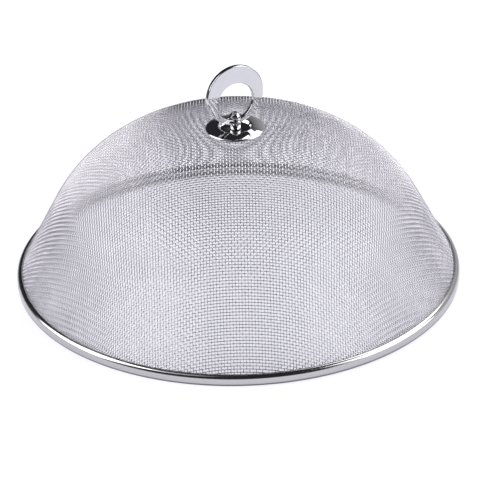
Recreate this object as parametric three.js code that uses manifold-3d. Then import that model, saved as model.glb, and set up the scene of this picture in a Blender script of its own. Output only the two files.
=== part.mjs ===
// Domed food cover of woven stainless wire cloth, with a rolled rim and a chromed ring knob.
// Millimetres, +Z up. The origin lies on the rest plane, under the middle of the crown.
// The knob's fixed and turning pieces are placed from the top of the cloth at the crown.
import * as THREE from "three";
import { mergeVertices } from "three/addons/utils/BufferGeometryUtils.js";
import Module from "manifold-3d";

const wasm = await Module();
wasm.setup();

// Clearances
const seatGap = 0.3; // between pieces that touch on the real cover
const pinGap = 0.15; // round the ring's cross pin
const cutOverrun = 1; // how far each cut runs past what it cuts

// Dome of wire cloth, measured on its outer side
const crownHeight = 109;
const crownFlatRadius = 25.6;
const flankAngle = THREE.MathUtils.degToRad(62.6);
const clothThickness = 1; // two wires, where they cross
const gridCount = 12; // openings from lip to lip through the crown, which stand for the fine mesh
const gridBarWidth = 8; // cloth between two openings

// Rim band, a strip rolled to a channel with its slot at the top inner side
const rimDiameter = 305;
const rimHeight = 7.2;
const rimWidth = 5;
const rimSheet = 0.6;
const rimInnerBend = 0.4; // inside radius of the two bottom bends
const rimShoulderRadius = 2.9;
const rimLipReach = 3.5; // from the outer wall to the lip that lies against the cloth
const seamGap = 0.5; // butt seam, where the strip's two ends meet
const seamAngle = THREE.MathUtils.degToRad(190);
const coreWireDiameter = 2.6;

// Knob base, a dished disc of sheet
const baseRadius = 20.3;
const baseSheet = 0.8;
const baseInnerBend = 0.3;
const baseLipHeight = 3; // top of the dish's lip above the cloth
const baseSkirtHeight = 1.8; // top of the outer edge above the cloth
const recessRadius = 11.2;
const recessWallRun = 1.2; // how far the recess's wall leans outwards

// Knob post, a turned spacer with a round head, slotted for the ring
const postRadius = 3.6;
const postSolidHeight = 3.15; // from the foot to the floor of the slot
const slotFloorThickness = 0.65; // metal left between the tapped bore and the slot
const headRadius = 3.95;
const headRise = 4.85; // from the floor of the slot to the middle of the round head
const neckUndercut = 0.75;
const neckTaper = 0.5;

// Ring, a flat plate with its hole set low
const ringRadius = 21.2;
const ringHoleRadius = 13.5;
const ringThinWidth = 2.75; // under the hole, where the post holds the ring
const ringThickness = 3;
const ringEdgeBevel = 0.45;
const ringTurn = THREE.MathUtils.degToRad(28); // as it stands in the photographed pose
const pinRadius = 0.75;
const pinInset = 0.2; // how far the pin's ends lie below the post's surface

// Fastening under the cloth
const screwRadius = 2;
const screwHeadRadius = 4;
const screwHeadHeight = 2.4;
const screwHeadRound = 1.5;
const driveSlotWidth = 0.9;
const driveSlotLength = 4.4;
const driveSlotDepth = 1.4;
const backingWasherRadius = 11;
const backingWasherThickness = 1;
const lockWasherRadius = 3.8;
const lockWasherThickness = 0.9;
const lockWasherSplit = 0.6;
const lockWasherSlant = THREE.MathUtils.degToRad(20);

// Facet counts
const hoopSegments = 60; // shared by the cloth, the rim and its wire, so that their facets line up
const discSegments = 36;
const turnedSegments = 32;
const smallSegments = 24;
const bendSteps = 2;
const shoulderSteps = 4;
const domeArcSteps = 9;
const wireSides = 8;
const ringOutlineSteps = 32;

// Sizes that follow from the ones above
const rimRadius = rimDiameter / 2;
const rimLipRadius = rimRadius - rimLipReach;
const rimWallInside = rimRadius - rimWidth + rimSheet;
const clothHole = screwRadius + seatGap;
const clothEntry = new THREE.Vector2(rimLipRadius - seatGap, rimHeight - rimSheet);
const domeRise = crownHeight - clothEntry.y;
const domeRun = clothEntry.x - crownFlatRadius;
const domeArcRadius =
  (domeRun * Math.sin(flankAngle) - domeRise * Math.cos(flankAngle)) / (1 - Math.cos(flankAngle));
const domeArcLength = domeArcRadius * flankAngle;
const flankRun = domeRun - domeArcRadius * Math.sin(flankAngle);
const clothLength = crownFlatRadius + domeArcLength + flankRun / Math.cos(flankAngle); // crown to lip
const gridPitch = (2 * clothLength) / gridCount;
const gridOpening = gridPitch - gridBarWidth;
const coreWireHeight = rimSheet + seatGap + coreWireDiameter / 2;
const baseFloorTop = seatGap + baseSheet;
const postFoot = baseFloorTop + seatGap;
const slotFloor = postFoot + postSolidHeight;
const ringBottom = slotFloor + seatGap;
const ringHoleDrop = ringRadius - ringThinWidth - ringHoleRadius;
const pinHeight = ringBottom + ringThinWidth / 2;
const boreTop = slotFloor - slotFloorThickness;
const backingWasherTop = -clothThickness - seatGap;
const lockWasherTop = backingWasherTop - backingWasherThickness - seatGap;
const screwHeadTop = lockWasherTop - lockWasherThickness - seatGap;

// Finishes
const finish = (color, roughness) =>
  new THREE.MeshStandardMaterial({ color, roughness, metalness: 1 });
const clothFinish = () => finish(0xb9bac0, 0.35);
const rimFinish = () => finish(0xc6c7cb, 0.18);
const chromeFinish = () => finish(0xdadce0, 0.05);
const platedFinish = () => finish(0xa9abae, 0.4);

// Outlines, lists of points with x as the radius and y as the height

// A run of straight lines through the corners, each rounded by its own radius in z.
function roundedLine(corners, steps) {
  const points = [];
  corners.forEach((corner, i) => {
    if (!corner.z) {
      points.push(new THREE.Vector2(corner.x, corner.y));
      return;
    }
    const here = new THREE.Vector2(corner.x, corner.y);
    const back = new THREE.Vector2(corners[i - 1].x, corners[i - 1].y).sub(here).normalize();
    const ahead = new THREE.Vector2(corners[i + 1].x, corners[i + 1].y).sub(here).normalize();
    const half = Math.acos(THREE.MathUtils.clamp(back.dot(ahead), -1, 1)) / 2;
    const centre = back.clone().add(ahead).normalize().multiplyScalar(corner.z / Math.sin(half)).add(here);
    const turn = (Math.PI - 2 * half) * Math.sign(ahead.cross(back));
    const start = back.multiplyScalar(corner.z / Math.tan(half)).add(here).sub(centre);
    for (let k = 0; k <= steps; k++) {
      const spoke = start.clone().rotateAround(new THREE.Vector2(), (turn * k) / steps);
      points.push(spoke.add(centre));
    }
  });
  return points;
}

// The same run moved sideways, to the right of its direction.
function offsetLine(points, distance) {
  const last = points.length - 1;
  const normals = points.slice(1).map((p, i) => {
    const along = p.clone().sub(points[i]).normalize();
    return new THREE.Vector2(along.y, -along.x);
  });
  return points.map((p, i) => {
    const before = normals[Math.max(i - 1, 0)];
    const after = normals[Math.min(i, last - 1)];
    const mitre = before.clone().add(after).normalize();
    return mitre.multiplyScalar(distance / mitre.dot(after)).add(p);
  });
}

// A closed outline of sheet: one side of it, and the other side on the way back.
function sheetOutline(side, thickness) {
  return [...side, ...offsetLine(side, thickness).reverse()];
}

// A solid of revolution about Z from an outline, closed on itself or on the axis.
function turned(outline, segments) {
  const area = THREE.ShapeUtils.area(outline);
  const points = area > 0 ? [...outline] : [...outline].reverse();
  points.push(points[0].clone());
  return new THREE.LatheGeometry(points, segments).rotateX(Math.PI / 2);
}

const point = (x, y) => new THREE.Vector2(x, y);
const corner = (x, y, round = 0) => new THREE.Vector3(x, y, round);

// Boolean work
function toSolid(geometry) {
  const bare = geometry.index ? geometry.toNonIndexed() : geometry.clone();
  bare.deleteAttribute("normal");
  bare.deleteAttribute("uv");
  const merged = mergeVertices(bare);
  const vertProperties = merged.attributes.position.array;
  const triVerts = new Uint32Array(merged.index.array);
  return new wasm.Manifold(new wasm.Mesh({ numProp: 3, vertProperties, triVerts }));
}

function toGeometry(solid) {
  const mesh = solid.getMesh();
  const result = new THREE.BufferGeometry();
  result.setAttribute("position", new THREE.BufferAttribute(mesh.vertProperties, 3));
  result.setIndex(new THREE.BufferAttribute(mesh.triVerts, 1));
  result.computeVertexNormals();
  return result;
}

function cut(geometry, ...tools) {
  return toGeometry(tools.reduce((rest, tool) => rest.subtract(toSolid(tool)), toSolid(geometry)));
}

// A cylinder along Z from one height to another.
function upright(radius, low, high, segments) {
  const cylinder = new THREE.CylinderGeometry(radius, radius, high - low, segments);
  return cylinder.rotateX(Math.PI / 2).translate(0, 0, (low + high) / 2);
}

function piece(name, geometry, material) {
  const mesh = new THREE.Mesh(geometry, material);
  mesh.name = name;
  return mesh;
}

// The cloth's outer side: a flat seat, an arc and a straight flank that meets the rim's lip.
function clothSide() {
  const sin = Math.sin(flankAngle);
  const cos = Math.cos(flankAngle);
  const wireTop = coreWireHeight + coreWireDiameter / 2;
  const hemHeight = wireTop + seatGap + clothThickness * cos;
  const hemRadius = clothEntry.x + ((clothEntry.y - hemHeight) * cos) / sin;
  const side = [point(clothHole, crownHeight)];
  for (let k = 0; k <= domeArcSteps; k++) {
    const turn = (flankAngle * k) / domeArcSteps;
    const radius = crownFlatRadius + domeArcRadius * Math.sin(turn);
    side.push(point(radius, crownHeight - domeArcRadius * (1 - Math.cos(turn))));
  }
  side.push(point(hemRadius, hemHeight));
  return side;
}

// A place over the cloth's outer side. The first two values are lengths along the cloth from the
// crown, along X and along Y, and the third is the height over it, square to it.
function overCloth(x, y, lift) {
  const along = new THREE.Vector3(x, y, 0);
  const length = along.length();
  const turn = THREE.MathUtils.clamp((length - crownFlatRadius) / domeArcRadius, 0, flankAngle);
  const flank = Math.max(length - crownFlatRadius - domeArcLength, 0);
  const flat = Math.min(length, crownFlatRadius);
  const radius = flat + domeArcRadius * Math.sin(turn) + flank * Math.cos(turn);
  const drop = domeArcRadius * (1 - Math.cos(turn)) + flank * Math.sin(turn);
  const place = along.clone().setLength(radius + lift * Math.sin(turn));
  return place.setZ(crownHeight - drop + lift * Math.cos(turn));
}

// The band about the axis that the openings keep to, so that a bar is left round the knob's base
// and half a bar along the rim's lip.
function gridZone(low, high) {
  const inner = baseRadius + gridBarWidth;
  const outer = clothLength - gridBarWidth / 2;
  const side = (lift) =>
    Array.from({ length: domeArcSteps + 1 }, (_, k) => {
      const place = overCloth(inner + ((outer - inner) * k) / domeArcSteps, 0, lift);
      return point(place.x, place.z);
    });
  return toSolid(turned([...side(high), ...side(low).reverse()], hoopSegments));
}

// Blocks that cut the grid's openings, one for each square with its middle inside the lip.
function gridCutters() {
  const high = gridOpening / 2; // clear of the bulge between an opening's corners
  const low = -high - clothThickness;
  const blocks = [];
  for (let row = 0; row < gridCount; row++) {
    for (let column = 0; column < gridCount; column++) {
      const x = (column + 0.5 - gridCount / 2) * gridPitch;
      const y = (row + 0.5 - gridCount / 2) * gridPitch;
      if (Math.hypot(x, y) > clothLength) continue;
      const corners = [low, high].flatMap((lift) =>
        [-1, 1].flatMap((sideX) =>
          [-1, 1].map((sideY) =>
            overCloth(x + (sideX * gridOpening) / 2, y + (sideY * gridOpening) / 2, lift).toArray(),
          ),
        ),
      );
      blocks.push(wasm.Manifold.hull(corners));
    }
  }
  return wasm.Manifold.union(blocks).intersect(gridZone(low, high));
}

function meshDome() {
  const outline = sheetOutline(clothSide(), clothThickness);
  const dome = toSolid(turned(outline, hoopSegments)).subtract(gridCutters());
  return piece("mesh_dome", toGeometry(dome), clothFinish());
}

// The inner wall stops short of the cloth, which leans outwards on its way down to the wire.
function innerWallTop() {
  const sin = Math.sin(flankAngle);
  const cos = Math.cos(flankAngle);
  const clothInside = clothEntry.x - (clothThickness + seatGap) / sin;
  return clothEntry.y - ((rimWallInside - clothInside) * sin) / cos;
}

function rimBand() {
  const bottomBend = rimInnerBend + rimSheet;
  const side = [
    ...roundedLine(
      [
        corner(rimRadius - rimWidth, innerWallTop()),
        corner(rimRadius - rimWidth, 0, bottomBend),
        corner(rimRadius, 0, bottomBend),
        corner(rimRadius, rimHeight - rimShoulderRadius),
      ],
      bendSteps,
    ),
    ...roundedLine(
      [
        corner(rimRadius, rimHeight - rimShoulderRadius),
        corner(rimRadius, rimHeight, rimShoulderRadius),
        corner(rimLipRadius, rimHeight),
      ],
      shoulderSteps,
    ).slice(2),
  ];
  const hoop = turned(sheetOutline(side, -rimSheet), hoopSegments);
  const seamLength = rimWidth + 2 * cutOverrun;
  const seamHeight = rimHeight + 2 * cutOverrun;
  const seam = new THREE.BoxGeometry(seamLength, seamGap, seamHeight);
  seam.translate(rimRadius - rimWidth / 2, 0, rimHeight / 2).rotateZ(seamAngle);
  return piece("rim_band", cut(hoop, seam), rimFinish());
}

function rimCoreWire() {
  const middle = (rimWallInside + rimRadius - rimSheet) / 2;
  const section = new THREE.EllipseCurve(middle, coreWireHeight, coreWireDiameter / 2, coreWireDiameter / 2);
  const outline = section.getPoints(wireSides).slice(1);
  return piece("rim_core_wire", turned(outline, hoopSegments), platedFinish());
}

function knobBase() {
  const outerBend = baseInnerBend + baseSheet;
  const side = roundedLine(
    [
      corner(clothHole, baseFloorTop),
      corner(recessRadius - recessWallRun, baseFloorTop, baseInnerBend),
      corner(recessRadius, baseLipHeight, outerBend),
      corner(baseRadius, baseSkirtHeight, outerBend),
      corner(baseRadius, seatGap),
    ],
    bendSteps,
  );
  const outline = sheetOutline(side, baseSheet);
  return piece("knob_base", turned(outline, discSegments), chromeFinish());
}

function knobPost() {
  const headMiddle = slotFloor + headRise;
  const neckRadius = headRadius - neckUndercut;
  const neckAngle = Math.acos(neckRadius / headRadius);
  const neckHeight = headMiddle - headRadius * Math.sin(neckAngle);
  const head = new THREE.EllipseCurve(0, headMiddle, headRadius, headRadius, -neckAngle, Math.PI / 2);
  const outline = [
    point(0, postFoot),
    point(postRadius, postFoot),
    point(postRadius, neckHeight - neckTaper),
    ...head.getPoints(turnedSegments / 4),
  ];
  outline[outline.length - 1].x = 0;
  const slotWidth = ringThickness + 2 * seatGap;
  const slotHeight = headMiddle + headRadius + cutOverrun - slotFloor;
  const slotLength = 2 * (Math.max(headRadius, postRadius) + cutOverrun);
  const slot = new THREE.BoxGeometry(slotLength, slotWidth, slotHeight);
  slot.translate(0, 0, slotFloor + slotHeight / 2);
  const bore = upright(screwRadius + seatGap, postFoot - cutOverrun, boreTop, smallSegments);
  const pinHole = crossCylinder(pinRadius + pinGap, slotLength);
  return piece("knob_post", cut(turned(outline, turnedSegments), slot, bore, pinHole), chromeFinish());
}

// A cylinder square to the ring, through its thin side.
function crossCylinder(radius, length) {
  return new THREE.CylinderGeometry(radius, radius, length, smallSegments).translate(0, 0, pinHeight);
}

function ringHandle() {
  const shape = new THREE.Shape();
  shape.absarc(0, 0, ringRadius, 0, 2 * Math.PI, false);
  const hole = new THREE.Path();
  hole.absarc(0, -ringHoleDrop, ringHoleRadius, 0, 2 * Math.PI, true);
  shape.holes.push(hole);
  const plate = new THREE.ExtrudeGeometry(shape, {
    depth: ringThickness - 2 * ringEdgeBevel,
    curveSegments: ringOutlineSteps,
    bevelThickness: ringEdgeBevel,
    bevelSize: ringEdgeBevel,
    bevelOffset: -ringEdgeBevel,
    bevelSegments: 1,
  });
  plate.translate(0, 0, ringEdgeBevel - ringThickness / 2);
  plate.rotateX(Math.PI / 2).translate(0, 0, ringBottom + ringRadius);
  const pinHole = crossCylinder(pinRadius + pinGap, ringThickness + 2 * cutOverrun);
  return piece("ring_handle", cut(plate, pinHole), chromeFinish());
}

function ringPin() {
  const length = 2 * (postRadius - pinInset);
  return piece("ring_pin", crossCylinder(pinRadius, length), platedFinish());
}

function backingWasher() {
  const low = backingWasherTop - backingWasherThickness;
  const outline = roundedLine([
    corner(clothHole, low),
    corner(backingWasherRadius, low),
    corner(backingWasherRadius, backingWasherTop),
    corner(clothHole, backingWasherTop),
  ]);
  return piece("backing_washer", turned(outline, discSegments), platedFinish());
}

function lockWasher() {
  const low = lockWasherTop - lockWasherThickness;
  const outline = roundedLine([
    corner(clothHole, low),
    corner(lockWasherRadius, low),
    corner(lockWasherRadius, lockWasherTop),
    corner(clothHole, lockWasherTop),
  ]);
  const height = lockWasherThickness + 2 * cutOverrun;
  const split = new THREE.BoxGeometry(lockWasherRadius + cutOverrun, lockWasherSplit, height);
  split.rotateX(lockWasherSlant);
  split.translate((lockWasherRadius + cutOverrun) / 2, 0, (low + lockWasherTop) / 2);
  return piece("lock_washer", cut(turned(outline, smallSegments), split), platedFinish());
}

function knobScrew() {
  const low = screwHeadTop - screwHeadHeight;
  const outline = roundedLine(
    [
      corner(0, low),
      corner(screwHeadRadius, low, screwHeadRound),
      corner(screwHeadRadius, screwHeadTop),
      corner(screwRadius, screwHeadTop),
      corner(screwRadius, boreTop - seatGap),
      corner(0, boreTop - seatGap),
    ],
    shoulderSteps,
  );
  const slotHeight = driveSlotDepth + cutOverrun;
  const slots = [0, Math.PI / 2].map((turn) => {
    const slot = new THREE.BoxGeometry(driveSlotLength, driveSlotWidth, slotHeight);
    return slot.translate(0, 0, low + driveSlotDepth - slotHeight / 2).rotateZ(turn);
  });
  return piece("knob_screw", cut(turned(outline, smallSegments), ...slots), platedFinish());
}

// Assembly
const cover = new THREE.Group();
cover.add(meshDome(), rimBand(), rimCoreWire());

const crown = new THREE.Group();
crown.position.z = crownHeight;
crown.add(knobBase(), backingWasher());
cover.add(crown);

const knob = new THREE.Group();
knob.rotation.z = ringTurn;
knob.add(knobPost(), ringHandle(), ringPin(), lockWasher(), knobScrew());
crown.add(knob);

export default cover;
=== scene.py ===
# Domed food cover of woven stainless wire cloth, with a rolled rim and a chromed ring knob.
# Surfaces, finishes, floor, light and camera, in metres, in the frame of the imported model.
from math import acos, ceil, copysign, cos, pi, radians, sin, sqrt, tan

import bmesh
import bpy
import numpy as np
from mathutils import Matrix, Vector


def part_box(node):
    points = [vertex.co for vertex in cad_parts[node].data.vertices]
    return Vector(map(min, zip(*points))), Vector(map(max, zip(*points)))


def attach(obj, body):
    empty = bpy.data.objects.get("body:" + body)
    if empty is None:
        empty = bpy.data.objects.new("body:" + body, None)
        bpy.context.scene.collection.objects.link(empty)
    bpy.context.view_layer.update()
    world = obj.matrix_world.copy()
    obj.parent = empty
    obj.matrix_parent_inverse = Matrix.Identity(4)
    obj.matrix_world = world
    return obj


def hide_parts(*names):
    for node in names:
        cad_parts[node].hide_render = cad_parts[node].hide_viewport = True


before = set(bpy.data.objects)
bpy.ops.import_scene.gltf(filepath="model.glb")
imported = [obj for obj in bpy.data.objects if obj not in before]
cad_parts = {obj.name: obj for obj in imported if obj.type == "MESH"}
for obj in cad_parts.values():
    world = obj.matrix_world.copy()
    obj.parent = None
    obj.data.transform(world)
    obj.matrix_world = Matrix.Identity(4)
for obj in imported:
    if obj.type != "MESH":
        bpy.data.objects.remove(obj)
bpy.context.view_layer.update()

MM = 0.001
TINY = MM / 1000  # a length below which points count as one

# Dome, from the frame and from the press it was formed in
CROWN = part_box("mesh_dome")[1].z
CROWN_FLAT = 25.6 * MM
FLANK = radians(62.6)
CLOTH = 1 * MM

# Wire cloth: plain weave of about 12 wires to the inch, in which the warp does most of the crimping
WIRE = 0.55 * MM  # drawn a little heavier than the real 0.5 mm, which would wash out at the picture's size
PITCH = 2.05 * MM
WARP_CRIMP_SHARE = 0.87  # of the two directions' crimps, which add up to the wire's diameter
CREST_SHARE = 0.12  # half of a crest's length, as a share of the pitch; between crests a wire is straight
WIRE_SIDES = 6
CLOTH_BANDS = 4  # pieces that the wires of each direction are shared among
AXIS_ROUNDS = 3  # refinements of each step along an axis
NET_ROUNDS = 12  # refinements of each diagonal of crossings

# Rim strip
RIM_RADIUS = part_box("rim_band")[1].x
RIM_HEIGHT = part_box("rim_band")[1].z
RIM_WIDTH = 5 * MM
RIM_SHEET = 0.6 * MM
RIM_INNER_BEND = 0.4 * MM
RIM_SHOULDER = 2.9 * MM
RIM_FOOT = 2 * MM  # rounding of the lower outer edge
RIM_LIP_REACH = 3.5 * MM
SEAM_GAP = 0.5 * MM
SEAM_ANGLE = radians(190)
SEAT_GAP = 0.3 * MM

# Knob base, above the crown
BASE_RADIUS = 20.3 * MM
BASE_SHEET = 0.8 * MM
BASE_INNER_BEND = 0.3 * MM
BASE_LIP_HEIGHT = 3 * MM
BASE_SKIRT_HEIGHT = 1.8 * MM
RECESS_RADIUS = 11.2 * MM
RECESS_WALL_RUN = 1.2 * MM

# Knob post
POST_RADIUS = 3.6 * MM
POST_SOLID = 3.15 * MM
SLOT_FLOOR_THICKNESS = 0.65 * MM
HEAD_RADIUS = 3.95 * MM
HEAD_RISE = 4.85 * MM
NECK_UNDERCUT = 0.75 * MM
NECK_TAPER = 0.5 * MM
POST_EDGE = 0.15 * MM

# Ring
RING_RADIUS = 21.2 * MM
RING_HOLE_RADIUS = 13.5 * MM
RING_THIN = 2.75 * MM
RING_THICKNESS = 3 * MM
RING_EDGE = 0.45 * MM
RING_FLAT_MARGIN = 0.1 * MM  # keeps the shading of the rounded edge off the flat face
RING_TURN = radians(28)
PIN_RADIUS = 0.75 * MM
PIN_GAP = 0.15 * MM

# Fastening
SCREW_RADIUS = 2 * MM
CUT_OVERRUN = 1 * MM

# Facets
HOOP_STEPS = 360
DISC_STEPS = 128
POST_STEPS = 64
RING_STEPS = 144
RING_EDGE_STEPS = 6
ROD_STEPS = 48
BEND_STEPS = 8
EASE_STEPS = 2
SHARP_ANGLE = radians(35)  # edges past this stay sharp in the shading, and are eased where a piece was cut
RING_SHARP_ANGLE = radians(20)  # past the steps of the rounded edge, which stay smooth

# Heights that follow from the sizes above
RIM_LIP = RIM_RADIUS - RIM_LIP_REACH
CLOTH_HOLE = SCREW_RADIUS + SEAT_GAP
BASE_FLOOR = CROWN + SEAT_GAP + BASE_SHEET
POST_FOOT = BASE_FLOOR + SEAT_GAP
SLOT_FLOOR = POST_FOOT + POST_SOLID
RING_BOTTOM = SLOT_FLOOR + SEAT_GAP
PIN_HEIGHT = RING_BOTTOM + RING_THIN / 2
BORE_TOP = SLOT_FLOOR - SLOT_FLOOR_THICKNESS


# Materials

def linear(hex_colour):
    """The linear RGBA of an sRGB colour written as hex."""
    parts = [int(hex_colour[k : k + 2], 16) / 255 for k in (0, 2, 4)]
    bright = [c / 12.92 if c <= 0.04045 else ((c + 0.055) / 1.055) ** 2.4 for c in parts]
    return (*bright, 1)


def add(tree, kind, inputs=None, **settings):
    """Adds a node to a tree. An input that is given a socket is linked to it."""
    node = tree.nodes.new(kind)
    for name, value in settings.items():
        setattr(node, name, value)
    for name, value in (inputs or {}).items():
        if isinstance(value, bpy.types.NodeSocket):
            tree.links.new(value, node.inputs[name])
        else:
            node.inputs[name].default_value = value
    return node


def new_material(name):
    """An empty material's name and tree."""
    material = bpy.data.materials.new(name)
    material.use_nodes = True
    material.node_tree.nodes.clear()
    return material, material.node_tree


def metal(tree, colour, roughness, normal=None):
    """Closes a metal's tree with its shader and output."""
    inputs = {"Base Color": colour, "Metallic": 1.0, "Roughness": roughness}
    if normal is not None:
        inputs["Normal"] = normal
    shader = add(tree, "ShaderNodeBsdfPrincipled", inputs)
    add(tree, "ShaderNodeOutputMaterial", {"Surface": shader.outputs["BSDF"]})


def drawn_stainless_wire():
    """Bright 304 wire, drawn through a die: satin lustre, with dull spots where lubricant was baked on.

    The spots are about 6 mm. The die's marks are far finer than 0.3 mm and are drawn at that, so that they show.
    """
    material, tree = new_material("drawn_stainless_wire")
    place = add(tree, "ShaderNodeTexCoord").outputs["Object"]
    spots = add(tree, "ShaderNodeTexNoise", {"Vector": place, "Scale": 1 / (6 * MM), "Detail": 3.0})
    tone = add(tree, "ShaderNodeValToRGB", {"Fac": spots.outputs["Fac"]})
    tone.color_ramp.elements[0].position = 0.3
    tone.color_ramp.elements[0].color = linear("D7D5DA")
    tone.color_ramp.elements[1].position = 0.7
    tone.color_ramp.elements[1].color = linear("E4E2E7")
    marks = add(tree, "ShaderNodeTexNoise", {"Vector": place, "Scale": 1 / (0.3 * MM), "Detail": 2.0})
    dull = add(
        tree,
        "ShaderNodeMapRange",
        {"Value": marks.outputs["Fac"], "To Min": 0.1, "To Max": 0.2},
    )
    metal(tree, tone.outputs["Color"], dull.outputs["Result"])
    return material


def around_axis(tree):
    """The place, its distance from the axis and its height, for marks that run round a turned piece."""
    place = add(tree, "ShaderNodeTexCoord").outputs["Object"]
    parts = add(tree, "ShaderNodeSeparateXYZ", {"Vector": place})
    flat = add(tree, "ShaderNodeCombineXYZ", {"X": parts.outputs["X"], "Y": parts.outputs["Y"]})
    reach = add(tree, "ShaderNodeVectorMath", {"Vector": flat.outputs["Vector"]}, operation="LENGTH")
    return place, reach.outputs["Value"], parts.outputs["Z"]


def rolled_stainless_strip():
    """Polished 304 strip after roll forming: fine lines that run round the hoop, and faint cloudy rub marks.

    The lines of the rolls are a few hundredths of a millimetre apart and are drawn at 0.35 mm, so that they show.
    """
    material, tree = new_material("rolled_stainless_strip")
    place, reach, height = around_axis(tree)
    across = add(tree, "ShaderNodeCombineXYZ", {"X": reach, "Z": height})
    lines = add(
        tree,
        "ShaderNodeTexNoise",
        {"Vector": across.outputs["Vector"], "Scale": 1 / (0.35 * MM), "Detail": 4.0},
    )
    clouds = add(tree, "ShaderNodeTexNoise", {"Vector": place, "Scale": 1 / (9 * MM), "Detail": 3.0})
    dull = add(
        tree,
        "ShaderNodeMapRange",
        {"Value": clouds.outputs["Fac"], "To Min": 0.1, "To Max": 0.2},
    )
    tone = add(tree, "ShaderNodeValToRGB", {"Fac": lines.outputs["Fac"]})
    tone.color_ramp.elements[0].color = linear("BDBCBC")
    tone.color_ramp.elements[1].color = linear("D2D1D1")
    relief = add(
        tree,
        "ShaderNodeBump",
        {"Height": lines.outputs["Fac"], "Distance": 0.004 * MM, "Strength": 1.0},
    )
    metal(tree, tone.outputs["Color"], dull.outputs["Result"], relief.outputs["Normal"])
    return material


def chrome_plate():
    """Bright chrome over nickel: a mirror with a cold tint, slightly dulled in patches as wide as a fingertip."""
    material, tree = new_material("chrome_plate")
    place = add(tree, "ShaderNodeTexCoord").outputs["Object"]
    smears = add(tree, "ShaderNodeTexNoise", {"Vector": place, "Scale": 1 / (8 * MM), "Detail": 4.0})
    tone = add(tree, "ShaderNodeValToRGB", {"Fac": smears.outputs["Fac"]})
    tone.color_ramp.elements[0].color = linear("D3D3D5")
    tone.color_ramp.elements[1].color = linear("DDDDDF")
    dull = add(
        tree,
        "ShaderNodeMapRange",
        {"Value": smears.outputs["Fac"], "From Min": 0.35, "From Max": 0.75, "To Min": 0.02, "To Max": 0.06},
    )
    metal(tree, tone.outputs["Color"], dull.outputs["Result"])
    return material


def zinc_plate():
    """Bright zinc on small fasteners: bluish grey, finely crystalline, so its gloss is soft.

    The crystals are hundredths of a millimetre and are drawn at 0.4 mm, so that they show.
    """
    material, tree = new_material("zinc_plate")
    place = add(tree, "ShaderNodeTexCoord").outputs["Object"]
    grains = add(tree, "ShaderNodeTexVoronoi", {"Vector": place, "Scale": 1 / (0.4 * MM)})
    tone = add(tree, "ShaderNodeValToRGB", {"Fac": grains.outputs["Distance"]})
    tone.color_ramp.elements[0].color = linear("A9ABB0")
    tone.color_ramp.elements[1].color = linear("BCBEC4")
    dull = add(
        tree,
        "ShaderNodeMapRange",
        {"Value": grains.outputs["Distance"], "To Min": 0.28, "To Max": 0.42},
    )
    metal(tree, tone.outputs["Color"], dull.outputs["Result"])
    return material


wire_finish = drawn_stainless_wire()
strip_finish = rolled_stainless_strip()
chrome_finish = chrome_plate()
zinc_finish = zinc_plate()


# Outlines, lists of points with x as the distance from the axis and y as the height

def rounded_line(corners, steps=BEND_STEPS):
    """Straight lines through the corners, each given as radius, height and bend radius."""
    points = []
    for k, (reach, height, bend) in enumerate(corners):
        here = Vector((reach, height))
        if not bend:
            points.append(here)
            continue
        back = (Vector(corners[k - 1][:2]) - here).normalized()
        ahead = (Vector(corners[k + 1][:2]) - here).normalized()
        half = acos(max(-1, min(1, back.dot(ahead)))) / 2
        centre = here + (back + ahead).normalized() * bend / sin(half)
        start = here + back * bend / tan(half) - centre
        turn = copysign(pi - 2 * half, ahead.cross(back))
        points += [centre + Matrix.Rotation(turn * n / steps, 2) @ start for n in range(steps + 1)]
    return points


def offset_line(points, distance):
    """The same line moved to the right of its direction."""
    normals = []
    for here, following in zip(points, points[1:]):
        along = (following - here).normalized()
        normals.append(Vector((along.y, -along.x)))
    moved = []
    for k, here in enumerate(points):
        before, after = normals[max(k - 1, 0)], normals[min(k, len(normals) - 1)]
        mitre = (before + after).normalized()
        moved.append(here + mitre * distance / mitre.dot(after))
    return moved


def shortened(points, length):
    """The same line with its two ends drawn in."""
    first = points[0] + (points[1] - points[0]).normalized() * length
    last = points[-1] + (points[-2] - points[-1]).normalized() * length
    return [first, *points[1:-1], last]


def half_round(start, end, steps=BEND_STEPS):
    """The points between two corners on a half circle that bulges to the left of the way from one to the other."""
    centre = (start + end) / 2
    return [centre + Matrix.Rotation(-pi * n / steps, 2) @ (start - centre) for n in range(1, steps)]


def sheet_outline(side, thickness):
    """A closed outline of sheet with round edges, from one of its sides.

    The sheet lies to the right of that side, or to its left where the thickness is negative.
    """
    near = shortened(side, abs(thickness) / 2)
    far = offset_line(near, thickness)[::-1]
    if thickness > 0:
        ends = [half_round(near[-1], far[0]), half_round(far[-1], near[0])]
    else:
        ends = [half_round(far[0], near[-1])[::-1], half_round(near[0], far[-1])[::-1]]
    return [*near, *ends[0], *far, *ends[1]]


# Meshes

def finished(name, bm):
    """An object from bmesh, with its doubles merged and its faces outwards."""
    bmesh.ops.remove_doubles(bm, verts=bm.verts, dist=TINY)
    bmesh.ops.dissolve_degenerate(bm, edges=bm.edges, dist=TINY)
    bmesh.ops.recalc_face_normals(bm, faces=bm.faces)
    mesh = bpy.data.meshes.new(name)
    bm.to_mesh(mesh)
    bm.free()
    piece = bpy.data.objects.new(name, mesh)
    bpy.context.collection.objects.link(piece)
    return piece


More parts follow.
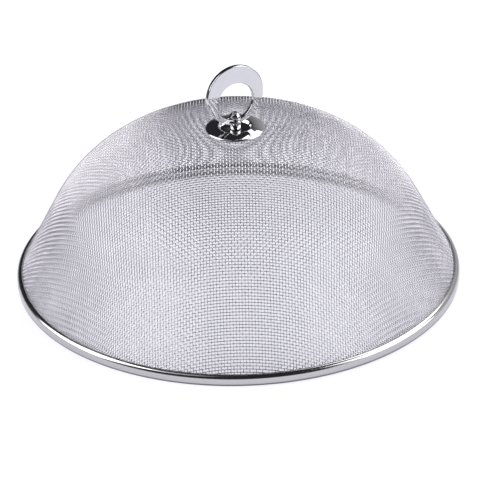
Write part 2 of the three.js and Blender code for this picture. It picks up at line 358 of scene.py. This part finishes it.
def revolved(name, outline, steps, start=0.0, sweep=2 * pi):
    """A closed outline turned about the axis, all round or from a start through a sweep with its ends capped."""
    whole = sweep >= 2 * pi
    bm = bmesh.new()
    rows = []
    for n in range(steps if whole else steps + 1):
        angle = start + sweep * n / steps
        rows.append([bm.verts.new((p.x * cos(angle), p.x * sin(angle), p.y)) for p in outline])
    count = len(outline)
    for n in range(steps):
        here, following = rows[n], rows[(n + 1) % len(rows)]
        for k in range(count):
            bm.faces.new((here[k], following[k], following[(k + 1) % count], here[(k + 1) % count]))
    if not whole:
        bm.faces.new(rows[0])
        bm.faces.new(rows[-1][::-1])
    return finished(name, bm)


def box_cutter(size, centre, turn=0.0):
    """A block for a cut, turned about the axis."""
    bm = bmesh.new()
    place = Matrix.Rotation(turn, 4, "Z") @ Matrix.Translation(centre) @ Matrix.Diagonal((*size, 1))
    bmesh.ops.create_cube(bm, size=1, matrix=place)
    return finished("cutter", bm)


def rod_cutter(radius, length, matrix):
    """A round rod for a cut, along Z before its matrix."""
    bm = bmesh.new()
    bmesh.ops.create_cone(bm, cap_ends=True, segments=ROD_STEPS, radius1=radius, radius2=radius, depth=length)
    bm.transform(matrix)
    return finished("cutter", bm)


def carved(piece, cutters, edge=0.0):
    """The piece with the cutters taken out of it and its sharp edges eased."""
    for cutter in cutters:
        cut = piece.modifiers.new("cut", "BOOLEAN")
        cut.object = cutter
        cut.solver = "EXACT"
    if edge:
        ease = piece.modifiers.new("ease", "BEVEL")
        ease.width = edge
        ease.segments = EASE_STEPS
        ease.limit_method = "ANGLE"
        ease.angle_limit = SHARP_ANGLE
    settle(piece)
    for cutter in cutters:
        bpy.data.objects.remove(cutter)
    return piece


def settle(piece):
    """Turns what the modifiers make into the piece's own mesh."""
    graph = bpy.context.evaluated_depsgraph_get()
    mesh = bpy.data.meshes.new_from_object(piece.evaluated_get(graph), depsgraph=graph)
    piece.modifiers.clear()
    piece.data = mesh


def dressed(piece, material, body, node, sharp=SHARP_ANGLE):
    """Gives the piece its shading, its finish and its body, and hides the node that it stands for."""
    piece.data.materials.clear()
    piece.data.materials.append(material)
    piece.data.shade_smooth()
    piece.data.set_sharp_from_angle(angle=sharp)
    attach(piece, body)
    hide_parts(node)


# Wire cloth

RISE = CROWN - (RIM_HEIGHT - RIM_SHEET)
RUN = RIM_LIP - SEAT_GAP - CROWN_FLAT
ARC = (RUN * sin(FLANK) - RISE * cos(FLANK)) / (1 - cos(FLANK)) - CLOTH / 2
MID_CROWN = CROWN - CLOTH / 2
HEM_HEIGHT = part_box("mesh_dome")[0].z


def cloth_height(reach):
    """Height and slope of the cloth's middle at a distance from the axis: flat seat, arc, straight flank."""
    share = np.clip((reach - CROWN_FLAT) / ARC, 0, sin(FLANK))
    slope = -share / np.sqrt(1 - share**2)
    beyond = np.maximum(reach - CROWN_FLAT - ARC * sin(FLANK), 0)
    return MID_CROWN - ARC * (1 - np.sqrt(1 - share**2)) + slope * beyond, slope


def on_cloth(plan):
    """Points of the cloth's middle above plan points, and how the height changes along x and y."""
    reach = np.hypot(plan[..., 0], plan[..., 1])
    height, slope = cloth_height(reach)
    tilt = plan * (slope / np.maximum(reach, TINY))[..., None]
    return np.concatenate([plan, height[..., None]], axis=-1), tilt


def draped_quarter(count):
    """Crossings of a cloth laid over the dome, which can shear but not stretch, so each stays a pitch from the last.

    The wires through the crown follow the axes, and the rest are found outwards, a diagonal at a time.
    """
    line = [0.0]
    for _ in range(count):
        step = PITCH
        for _ in range(AXIS_ROUNDS):
            step = PITCH / sqrt(1 + cloth_height(line[-1] + step / 2)[1] ** 2)
        line.append(line[-1] + step)
    plan = np.full((count + 1, count + 1, 2), np.nan)
    plan[:, 0] = [(reach, 0) for reach in line]
    plan[0, :] = [(0, reach) for reach in line]
    for diagonal in range(2, 2 * count + 1):
        i = np.arange(max(1, diagonal - count), min(count, diagonal - 1) + 1)
        j = diagonal - i
        before, _ = on_cloth(plan[i - 1, j])
        beside, _ = on_cloth(plan[i, j - 1])
        guess = plan[i - 1, j] + plan[i, j - 1] - plan[i - 1, j - 1]
        for _ in range(NET_ROUNDS):
            here, tilt = on_cloth(guess)
            rows, misses = [], []
            for anchor in (before, beside):
                away = here - anchor
                rows.append(2 * (away[:, :2] + away[:, 2:] * tilt))
                misses.append((away**2).sum(axis=1) - PITCH**2)
            (ax, ay), (bx, by) = rows[0].T, rows[1].T
            scale = ax * by - ay * bx
            guess[:, 0] -= (misses[0] * by - misses[1] * ay) / scale
            guess[:, 1] -= (misses[1] * ax - misses[0] * bx) / scale
        plan[i, j] = guess
    return plan


def crossings():
    """The whole cloth's crossings in plan, by mirroring the quarter."""
    straight = (MID_CROWN - ARC * (1 - cos(FLANK)) - HEM_HEIGHT) / sin(FLANK)
    quarter = draped_quarter(ceil((CROWN_FLAT + ARC * FLANK + straight) / PITCH) + 1)
    half = np.concatenate([quarter[:0:-1] * (-1, 1), quarter])
    return np.concatenate([half[:, :0:-1] * (1, -1), half], axis=1)


def wire_samples(plan, first_side):
    """Each wire as samples at the two ends of every crest: place, outward direction and side of the cloth."""
    step = (plan[:, 1:] - plan[:, :-1]) * CREST_SHARE
    samples = np.stack([plan[:, :-1] + step, plan[:, 1:] - step], axis=2)
    wires, spans = samples.shape[:2]
    place, tilt = on_cloth(samples.reshape(wires, 2 * spans, 2))
    outward = np.concatenate([-tilt, np.ones((*tilt.shape[:2], 1))], axis=2)
    outward /= np.linalg.norm(outward, axis=2, keepdims=True)
    turns = np.add.outer(np.arange(wires), np.arange(spans + 1)) % 2 * 2 - 1
    side = np.stack([turns[:, :-1], turns[:, 1:]], axis=2).reshape(wires, 2 * spans) * first_side
    reach = np.hypot(place[..., 0], place[..., 1])
    kept = (place[..., 2] > HEM_HEIGHT + CLOTH / 2) & (reach > CLOTH_HOLE + WIRE / 2)
    return place, outward, side, kept


def wire_lines(name, place, outward, side, kept):
    """A mesh of edges along the kept samples, which carry their outward direction and side."""
    index = np.cumsum(kept).reshape(kept.shape) - 1
    joined = kept[:, :-1] & kept[:, 1:]
    edges = np.column_stack([index[:, :-1][joined], index[:, 1:][joined]])
    mesh = bpy.data.meshes.new(name)
    mesh.from_pydata(place[kept].tolist(), edges.tolist(), [])
    mesh.attributes.new("outward", "FLOAT_VECTOR", "POINT").data.foreach_set("vector", outward[kept].ravel())
    mesh.attributes.new("side", "FLOAT", "POINT").data.foreach_set("value", side[kept].astype(float))
    piece = bpy.data.objects.new(name, mesh)
    bpy.context.collection.objects.link(piece)
    return piece


def woven_wire_tree():
    """Crimps wires over and under each other and gives them their round section."""
    tree = bpy.data.node_groups.new("woven_wire", "GeometryNodeTree")
    for name, kind in (
        ("Lines", "NodeSocketGeometry"),
        ("Wire Diameter", "NodeSocketFloat"),
        ("Crimp Height", "NodeSocketFloat"),
        ("Sides", "NodeSocketInt"),
        ("Finish", "NodeSocketMaterial"),
    ):
        tree.interface.new_socket(name, in_out="INPUT", socket_type=kind)
    tree.interface.new_socket("Wires", in_out="OUTPUT", socket_type="NodeSocketGeometry")
    given = add(tree, "NodeGroupInput").outputs
    outward = add(tree, "GeometryNodeInputNamedAttribute", {"Name": "outward"}, data_type="FLOAT_VECTOR")
    side = add(tree, "GeometryNodeInputNamedAttribute", {"Name": "side"}, data_type="FLOAT")
    height = add(
        tree,
        "ShaderNodeMath",
        {0: side.outputs["Attribute"], 1: given["Crimp Height"]},
        operation="MULTIPLY",
    )
    crimp = add(
        tree,
        "ShaderNodeVectorMath",
        {"Vector": outward.outputs["Attribute"], "Scale": height.outputs["Value"]},
        operation="SCALE",
    )
    moved = add(
        tree,
        "GeometryNodeSetPosition",
        {"Geometry": given["Lines"], "Offset": crimp.outputs["Vector"]},
    )
    curves = add(tree, "GeometryNodeMeshToCurve", {"Mesh": moved.outputs["Geometry"]})
    radius = add(tree, "ShaderNodeMath", {0: given["Wire Diameter"], 1: 2.0}, operation="DIVIDE")
    section = add(
        tree,
        "GeometryNodeCurvePrimitiveCircle",
        {"Resolution": given["Sides"], "Radius": radius.outputs["Value"]},
    )
    wires = add(
        tree,
        "GeometryNodeCurveToMesh",
        {"Curve": curves.outputs["Curve"], "Profile Curve": section.outputs["Curve"], "Fill Caps": True},
    )
    real = add(tree, "GeometryNodeRealizeInstances", {"Geometry": wires.outputs["Mesh"]})
    painted = add(
        tree,
        "GeometryNodeSetMaterial",
        {"Geometry": real.outputs["Geometry"], "Material": given["Finish"]},
    )
    add(tree, "NodeGroupOutput", {"Wires": painted.outputs["Geometry"]})
    return tree


def grow(piece, tree, inputs):
    """Runs a node tree on the piece with its named inputs, and keeps the result as the piece's mesh."""
    modifier = piece.modifiers.new(tree.name, "NODES")
    modifier.node_group = tree
    for item in tree.interface.items_tree:
        if item.item_type == "SOCKET" and item.in_out == "INPUT" and item.name in inputs:
            modifier[item.identifier] = inputs[item.name]
    settle(piece)


def wire_cloth():
    """The wires of both directions, each direction in a few bands of about as much wire."""
    tree = woven_wire_tree()
    plan = crossings()
    inputs = {"Wire Diameter": WIRE, "Sides": WIRE_SIDES, "Finish": wire_finish}
    for name, directed, first_side, share in (
        ("warp", plan, 1, WARP_CRIMP_SHARE),
        ("weft", plan.transpose(1, 0, 2), -1, 1 - WARP_CRIMP_SHARE),
    ):
        samples = wire_samples(directed, first_side)
        inputs["Crimp Height"] = WIRE * share
        total = np.cumsum(samples[3].sum(axis=1))
        bounds = np.searchsorted(total, total[-1] * np.arange(CLOTH_BANDS + 1) / CLOTH_BANDS)
        bounds[-1] = len(total)
        for band in range(CLOTH_BANDS):
            rows = slice(bounds[band], bounds[band + 1])
            piece = wire_lines(f"cloth_{name}_{band + 1}", *(part[rows] for part in samples))
            grow(piece, tree, inputs)
            dressed(piece, wire_finish, "cover", "mesh_dome", sharp=pi)
            crease_crimps(piece.data)


def crease_crimps(mesh):
    """Marks the edges round the wires as sharp, so that straight stretches keep their full tilt in the shading."""
    ends = np.empty(2 * len(mesh.edges), dtype=np.int32)
    mesh.edges.foreach_get("vertices", ends)
    section = ends.reshape(-1, 2) // WIRE_SIDES
    mesh.edges.foreach_set("use_edge_sharp", section[:, 0] == section[:, 1])


# Rim

def rim_band():
    """Strip rolled to a channel round the cloth's hem, its two ends butted at the seam."""
    bottom_bend = RIM_INNER_BEND + RIM_SHEET
    wall_inside = RIM_RADIUS - RIM_WIDTH + RIM_SHEET
    cloth_inside = RIM_LIP - SEAT_GAP - (CLOTH + SEAT_GAP) / sin(FLANK)
    inner_top = RIM_HEIGHT - RIM_SHEET - (wall_inside - cloth_inside) * tan(FLANK)
    side = rounded_line(
        [
            (RIM_RADIUS - RIM_WIDTH, inner_top, 0),
            (RIM_RADIUS - RIM_WIDTH, 0, bottom_bend),
            (RIM_RADIUS, 0, RIM_FOOT),
            (RIM_RADIUS, RIM_HEIGHT, RIM_SHOULDER),
            (RIM_LIP, RIM_HEIGHT, 0),
        ]
    )
    gap = SEAM_GAP / RIM_RADIUS
    outline = sheet_outline(side, -RIM_SHEET)
    piece = revolved("rim_strip", outline, HOOP_STEPS, SEAM_ANGLE + gap / 2, 2 * pi - gap)
    dressed(piece, strip_finish, "cover", "rim_band")


# Knob

def knob_base():
    """Dished disc, pressed from sheet, with a sunk seat for the post."""
    outer_bend = BASE_INNER_BEND + BASE_SHEET
    side = rounded_line(
        [
            (CLOTH_HOLE, BASE_FLOOR, 0),
            (RECESS_RADIUS - RECESS_WALL_RUN, BASE_FLOOR, BASE_INNER_BEND),
            (RECESS_RADIUS, CROWN + BASE_LIP_HEIGHT, outer_bend),
            (BASE_RADIUS, CROWN + BASE_SKIRT_HEIGHT, outer_bend),
            (BASE_RADIUS, CROWN + SEAT_GAP, 0),
        ]
    )
    piece = revolved("knob_dish", sheet_outline(side, BASE_SHEET), DISC_STEPS)
    dressed(piece, chrome_finish, "cover", "knob_base")


def knob_post():
    """Turned post with a round head, slotted for the ring."""
    head_middle = SLOT_FLOOR + HEAD_RISE
    neck_angle = acos((HEAD_RADIUS - NECK_UNDERCUT) / HEAD_RADIUS)
    outline = [Vector((0, POST_FOOT)), Vector((POST_RADIUS, POST_FOOT))]
    outline.append(Vector((POST_RADIUS, head_middle - HEAD_RADIUS * sin(neck_angle) - NECK_TAPER)))
    arc_steps = 3 * BEND_STEPS
    for n in range(arc_steps + 1):
        angle = -neck_angle + (neck_angle + pi / 2) * n / arc_steps
        reach = HEAD_RADIUS * cos(angle) if n < arc_steps else 0
        outline.append(Vector((reach, head_middle + HEAD_RADIUS * sin(angle))))
    piece = revolved("knob_stem", outline, POST_STEPS)
    slot_height = head_middle + HEAD_RADIUS + CUT_OVERRUN - SLOT_FLOOR
    slot_length = 2 * (HEAD_RADIUS + CUT_OVERRUN)
    slot_size = (slot_length, RING_THICKNESS + 2 * SEAT_GAP, slot_height)
    slot = box_cutter(slot_size, (0, 0, SLOT_FLOOR + slot_height / 2), RING_TURN)
    bore_low = POST_FOOT - CUT_OVERRUN
    bore_place = Matrix.Translation((0, 0, (bore_low + BORE_TOP) / 2))
    bore = rod_cutter(CLOTH_HOLE, BORE_TOP - bore_low, bore_place)
    carved(piece, [slot, bore, pin_hole(slot_length)], POST_EDGE)
    dressed(piece, chrome_finish, "knob", "knob_post")


def pin_hole(length):
    """A cutter for the cross pin's hole, square to the ring."""
    lying = Matrix.Rotation(RING_TURN, 4, "Z") @ Matrix.Rotation(pi / 2, 4, "X")
    return rod_cutter(PIN_RADIUS + PIN_GAP, length, Matrix.Translation((0, 0, PIN_HEIGHT)) @ lying)


def ring_handle():
    """Flat ring with its hole set low and its edges rounded in the tumbling drum."""
    middle = RING_BOTTOM + RING_RADIUS
    hole_middle = RING_BOTTOM + RING_THIN + RING_HOLE_RADIUS
    half = RING_THICKNESS / 2
    section = [(RING_EDGE + RING_FLAT_MARGIN, half)]
    for n in range(RING_EDGE_STEPS + 1):
        turn = pi / 2 * n / RING_EDGE_STEPS
        section.append((RING_EDGE * (1 - sin(turn)), half - RING_EDGE * (1 - cos(turn))))
    section.append((0, half - RING_EDGE - RING_FLAT_MARGIN))
    section += [(inset, -depth) for inset, depth in section[::-1]]
    bm = bmesh.new()
    rows = []
    for n in range(RING_STEPS):
        angle = 2 * pi * n / RING_STEPS
        row = []
        for inset, depth in section:
            reach = RING_RADIUS - inset
            row.append(bm.verts.new((reach * cos(angle), depth, middle + reach * sin(angle))))
        for inset, depth in section[::-1]:
            reach = RING_HOLE_RADIUS + inset
            row.append(bm.verts.new((reach * cos(angle), depth, hole_middle + reach * sin(angle))))
        rows.append(row)
    count = 2 * len(section)
    for n in range(RING_STEPS):
        here, following = rows[n], rows[(n + 1) % RING_STEPS]
        for k in range(count):
            bm.faces.new((here[k], following[k], following[(k + 1) % count], here[(k + 1) % count]))
    bm.transform(Matrix.Rotation(RING_TURN, 4, "Z"))
    piece = finished("finger_ring", bm)
    carved(piece, [pin_hole(RING_THICKNESS + 2 * CUT_OVERRUN)])
    dressed(piece, chrome_finish, "knob", "ring_handle", sharp=RING_SHARP_ANGLE)


def fastening():
    """The washers, the screw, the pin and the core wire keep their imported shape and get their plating."""
    for name in ("rim_core_wire", "ring_pin", "backing_washer", "lock_washer", "knob_screw"):
        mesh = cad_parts[name].data
        mesh.materials.clear()
        mesh.materials.append(zinc_finish)


wire_cloth()
rim_band()
knob_base()
knob_post()
ring_handle()
fastening()


# Floor, backdrop and light

def camera_or_mirror(tree):
    """1 for what the camera, a reflection or a refraction sees directly, else 0; and 1 for a reflection alone."""
    path = add(tree, "ShaderNodeLightPath").outputs
    seen = path["Is Camera Ray"]
    for other in ("Is Glossy Ray", "Is Transmission Ray"):
        seen = add(tree, "ShaderNodeMath", {0: seen, 1: path[other]}, operation="MAXIMUM").outputs["Value"]
    return seen, path["Is Glossy Ray"]


def paper_floor():
    """White paper sweep: matt, with a glow for what looks at it, so that it stays white around the shadow.

    Under the cover the glow is weaker, a painted shade for the cloth's shadow on the paper, and weakest beside the
    rim, a painted contact shadow. Past the table's edge the camera still sees white, but reflections see no glow,
    as of a dark studio floor.
    """
    material, tree = new_material("paper_floor")
    reach = around_axis(tree)[1]
    beyond = add(
        tree,
        "ShaderNodeMapRange",
        {"Value": reach, "From Min": TABLE_REACH, "From Max": TABLE_REACH + TABLE_EDGE},
    )
    tone = add(
        tree,
        "ShaderNodeMix",
        {"Factor": beyond.outputs["Result"], "A": linear("A8A8AC"), "B": linear("505052")},
        data_type="RGBA",
    )
    paper = add(tree, "ShaderNodeBsdfDiffuse", {"Color": tone.outputs["Result"]})
    rim_inside = RIM_RADIUS - RIM_WIDTH
    # Painted shade: the glow falls from its share under the cover to its least beside the rim, for the cloth's
    # shadow and the rim's contact shadow.
    under = add(
        tree,
        "ShaderNodeMapRange",
        {
            "Value": reach,
            "From Min": rim_inside - RIM_HEIGHT,
            "From Max": rim_inside,
            "To Min": FLOOR_GLOW * UNDER_CLOTH_PAINTED_SHADE_SHARE,
            "To Max": FLOOR_GLOW * BESIDE_RIM_PAINTED_SHADOW_SHARE,
        },
    )
    open_floor = add(
        tree,
        "ShaderNodeMapRange",
        {
            "Value": reach,
            "From Min": RIM_RADIUS - RIM_SHEET,
            "From Max": RIM_RADIUS,
            "To Min": 0.0,
            "To Max": FLOOR_GLOW * (1 - BESIDE_RIM_PAINTED_SHADOW_SHARE),
        },
    )
    near = add(
        tree,
        "ShaderNodeMath",
        {0: under.outputs["Result"], 1: open_floor.outputs["Result"]},
        operation="ADD",
    )
    level = add(
        tree,
        "ShaderNodeMath",
        {0: beyond.outputs["Result"], 1: FAR_GLOW - FLOOR_GLOW, 2: near.outputs["Value"]},
        operation="MULTIPLY_ADD",
    )
    seen, mirrored = camera_or_mirror(tree)
    loss = add(
        tree,
        "ShaderNodeMapRange",
        {"Value": beyond.outputs["Result"], "To Min": MIRRORED_SHARE - 1, "To Max": -1.0},
    )
    dimmed = add(
        tree,
        "ShaderNodeMath",
        {0: mirrored, 1: loss.outputs["Result"], 2: 1.0},
        operation="MULTIPLY_ADD",
    )
    shown = add(tree, "ShaderNodeMath", {0: seen, 1: dimmed.outputs["Value"]}, operation="MULTIPLY")
    strength = add(
        tree,
        "ShaderNodeMath",
        {0: shown.outputs["Value"], 1: level.outputs["Value"]},
        operation="MULTIPLY",
    )
    glow = add(
        tree,
        "ShaderNodeEmission",
        {"Color": linear("F6F5FF"), "Strength": strength.outputs["Value"]},
    )
    both = add(tree, "ShaderNodeAddShader", {0: paper.outputs["BSDF"], 1: glow.outputs["Emission"]})
    add(tree, "ShaderNodeOutputMaterial", {"Surface": both.outputs["Shader"]})
    return material


def floor():
    """A square of the paper, under the rim."""
    half = FLOOR_SIZE / 2
    corners = [(-half, -half, 0), (half, -half, 0), (half, half, 0), (-half, half, 0)]
    mesh = bpy.data.meshes.new("floor")
    mesh.from_pydata(corners, [], [(0, 1, 2, 3)])
    mesh.materials.append(paper_floor())
    plane = bpy.data.objects.new("floor", mesh)
    bpy.context.collection.objects.link(plane)


def studio_room():
    """A white backdrop for the camera. Reflections see a dark room with a pale horizon and a few lit walls."""
    world = bpy.data.worlds.new("studio_room")
    bpy.context.scene.world = world
    world.use_nodes = True
    tree = world.node_tree
    tree.nodes.clear()
    direction = add(tree, "ShaderNodeTexCoord").outputs["Generated"]
    parts = add(tree, "ShaderNodeSeparateXYZ", {"Vector": direction}).outputs
    haze = add(tree, "ShaderNodeValToRGB", {"Fac": parts["Z"]})
    for element, (rise, level) in zip(haze.color_ramp.elements, (HORIZON, CEILING)):
        element.position = rise
        element.color = (*level, 1)
    lit = haze.outputs["Color"]
    for azimuth, elevation, reach, level in WALLS:
        facing = add(
            tree,
            "ShaderNodeVectorMath",
            {0: direction, 1: heading(azimuth, elevation)},
            operation="DOT_PRODUCT",
        )
        wall = add(
            tree,
            "ShaderNodeMapRange",
            {
                "Value": facing.outputs["Value"],
                "From Min": cos(radians(reach + WALL_SOFTNESS)),
                "From Max": cos(radians(reach - WALL_SOFTNESS)),
            },
            interpolation_type="SMOOTHSTEP",
        )
        lit = add(
            tree,
            "ShaderNodeMix",
            {"Factor": wall.outputs["Result"], "A": lit, "B": (level, level, level * WALL_BLUE, 1)},
            data_type="RGBA",
        ).outputs["Result"]
    room = add(tree, "ShaderNodeBackground", {"Color": lit, "Strength": 1.0})
    white = add(tree, "ShaderNodeBackground", {"Color": (1, 1, 1, 1), "Strength": 1.0})
    seen = add(tree, "ShaderNodeLightPath").outputs["Is Camera Ray"]
    mixed = add(
        tree,
        "ShaderNodeMixShader",
        {"Fac": seen, 1: room.outputs["Background"], 2: white.outputs["Background"]},
    )
    add(tree, "ShaderNodeOutputWorld", {"Surface": mixed.outputs["Shader"]})


def from_middle(azimuth, elevation, distance):
    """A place seen from the crown. Azimuth 0 is behind the cover, 90 to its right; both in degrees."""
    a, e = radians(azimuth), radians(elevation)
    return Vector((sin(a) * cos(e), cos(a) * cos(e), sin(e))) * distance + Vector((0, 0, CROWN))


def softbox(name, azimuth, elevation, width, height, brightness):
    """A diffusing panel that faces the crown. Its width and height are given as angles."""
    light = bpy.data.lights.new(name, "AREA")
    light.shape = "RECTANGLE"
    light.size = 2 * BOX_DISTANCE * tan(radians(width) / 2)
    light.size_y = 2 * BOX_DISTANCE * tan(radians(height) / 2)
    light.energy = brightness * pi * light.size * light.size_y
    lamp = bpy.data.objects.new(name, light)
    bpy.context.collection.objects.link(lamp)
    lamp.location = from_middle(azimuth, elevation, BOX_DISTANCE)
    lamp.rotation_euler = (lamp.location - Vector((0, 0, CROWN))).to_track_quat("Z", "Y").to_euler()
    lamp.visible_camera = False


def heading(azimuth, elevation):
    """A unit direction from its azimuth and elevation in degrees."""
    return from_middle(azimuth, elevation, 1) - Vector((0, 0, CROWN))


FLOOR_SIZE = 40
TABLE_REACH = 330 * MM  # from the axis, as far as reflections see the paper lit
TABLE_EDGE = 120 * MM  # over which that fades
FLOOR_GLOW = 0.78
FAR_GLOW = 1.1  # past the table, for the camera: white by itself, as the paper is dark there
MIRRORED_SHARE = 0.84  # of the glow, in reflections
UNDER_CLOTH_PAINTED_SHADE_SHARE = 0.83  # of the glow, under the cover: a painted shade for the cloth's shadow on the paper
BESIDE_RIM_PAINTED_SHADOW_SHARE = 0.12  # of the glow, at the rim: a painted contact shadow
BOX_DISTANCE = 1.8
HORIZON = (0.04, (0.2, 0.2, 0.21))  # sine of the elevation, and how bright the room is up to it
CEILING = (0.3, (0.025, 0.025, 0.03))  # the same from there up
WALLS = ((48, 8, 42, 0.5), (114, 4, 22, 0.8), (-122, 62, 14, 0.6))  # azimuth, elevation, reach, brightness
WALL_SOFTNESS = 5  # degrees either side of a wall's edge
WALL_BLUE = 1.06  # blue over red in a wall's light

floor()
studio_room()
softbox("left_box", -90, 33, 46, 54, 3.5)
softbox("right_box", 96, 31, 48, 48, 2.5)
softbox("back_box", 30, 48, 35, 28, 3.1)


# Camera, from the rim's outline in the photograph

CAMERA_RISE = radians(29.3)
CAMERA_ROLL = radians(-1.2)
CAMERA_DISTANCE = 2000 * MM
CAMERA_TARGET = Vector((1.6, 0, 24.1)) * MM
SENSOR_WIDTH = 36.0
FOCAL_SHARE = 2893 / 480  # focal length over the picture's width


def camera():
    """A camera in front of the cover, raised, and rolled about its view as in the photograph."""
    data = bpy.data.cameras.new("camera")
    data.sensor_width = SENSOR_WIDTH
    data.lens = FOCAL_SHARE * SENSOR_WIDTH
    seer = bpy.data.objects.new("camera", data)
    bpy.context.collection.objects.link(seer)
    place = Vector((0, -cos(CAMERA_RISE), sin(CAMERA_RISE))) * CAMERA_DISTANCE
    ahead = (CAMERA_TARGET - place).normalized()
    level = ahead.cross(Vector((0, 0, 1))).normalized()
    above = level.cross(ahead)
    right = cos(CAMERA_ROLL) * level + sin(CAMERA_ROLL) * above
    up = cos(CAMERA_ROLL) * above - sin(CAMERA_ROLL) * level
    turn = Matrix((right, up, -ahead)).transposed().to_4x4()
    seer.matrix_world = Matrix.Translation(place) @ turn
    data.clip_end = 2 * FLOOR_SIZE
    bpy.context.scene.camera = seer


camera()
bpy.context.scene.view_settings.view_transform = "Standard"
